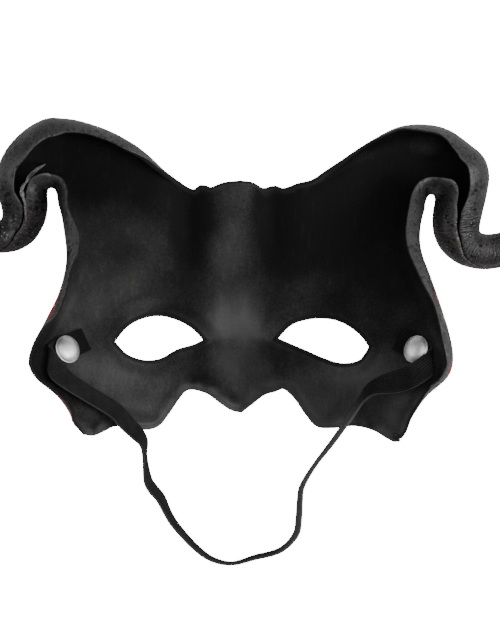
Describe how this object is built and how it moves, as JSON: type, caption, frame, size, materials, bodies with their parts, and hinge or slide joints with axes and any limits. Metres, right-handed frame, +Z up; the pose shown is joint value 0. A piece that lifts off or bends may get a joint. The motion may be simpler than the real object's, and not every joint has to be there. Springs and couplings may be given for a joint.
{
  "type": "devil half mask",
  "caption": "Moulded leather half mask with a hooked nose, two eye holes, rolled curling horns and a riveted elastic strap, lying face down.",
  "frame": {"origin": "middle of the underside of the mask's box, on the surface that the mask lies on face down", "axes": "+Z up, towards the wearer's face; +Y towards the forehead; +X to the right as the hollow side is seen from above"},
  "size_m": [0.2615, 0.1887, 0.0695],
  "materials": {
    "leather": "black dyed inside, red outside, semi-matt",
    "elastic": "ribbed black elastic, matt",
    "steel": "polished nickel plate"
  },
  "bodies": {
    "root": {"mask": "leather", "elastic_strap": "elastic", "rivet_left": "steel", "rivet_right": "steel"}
  },
  "joints": []
}
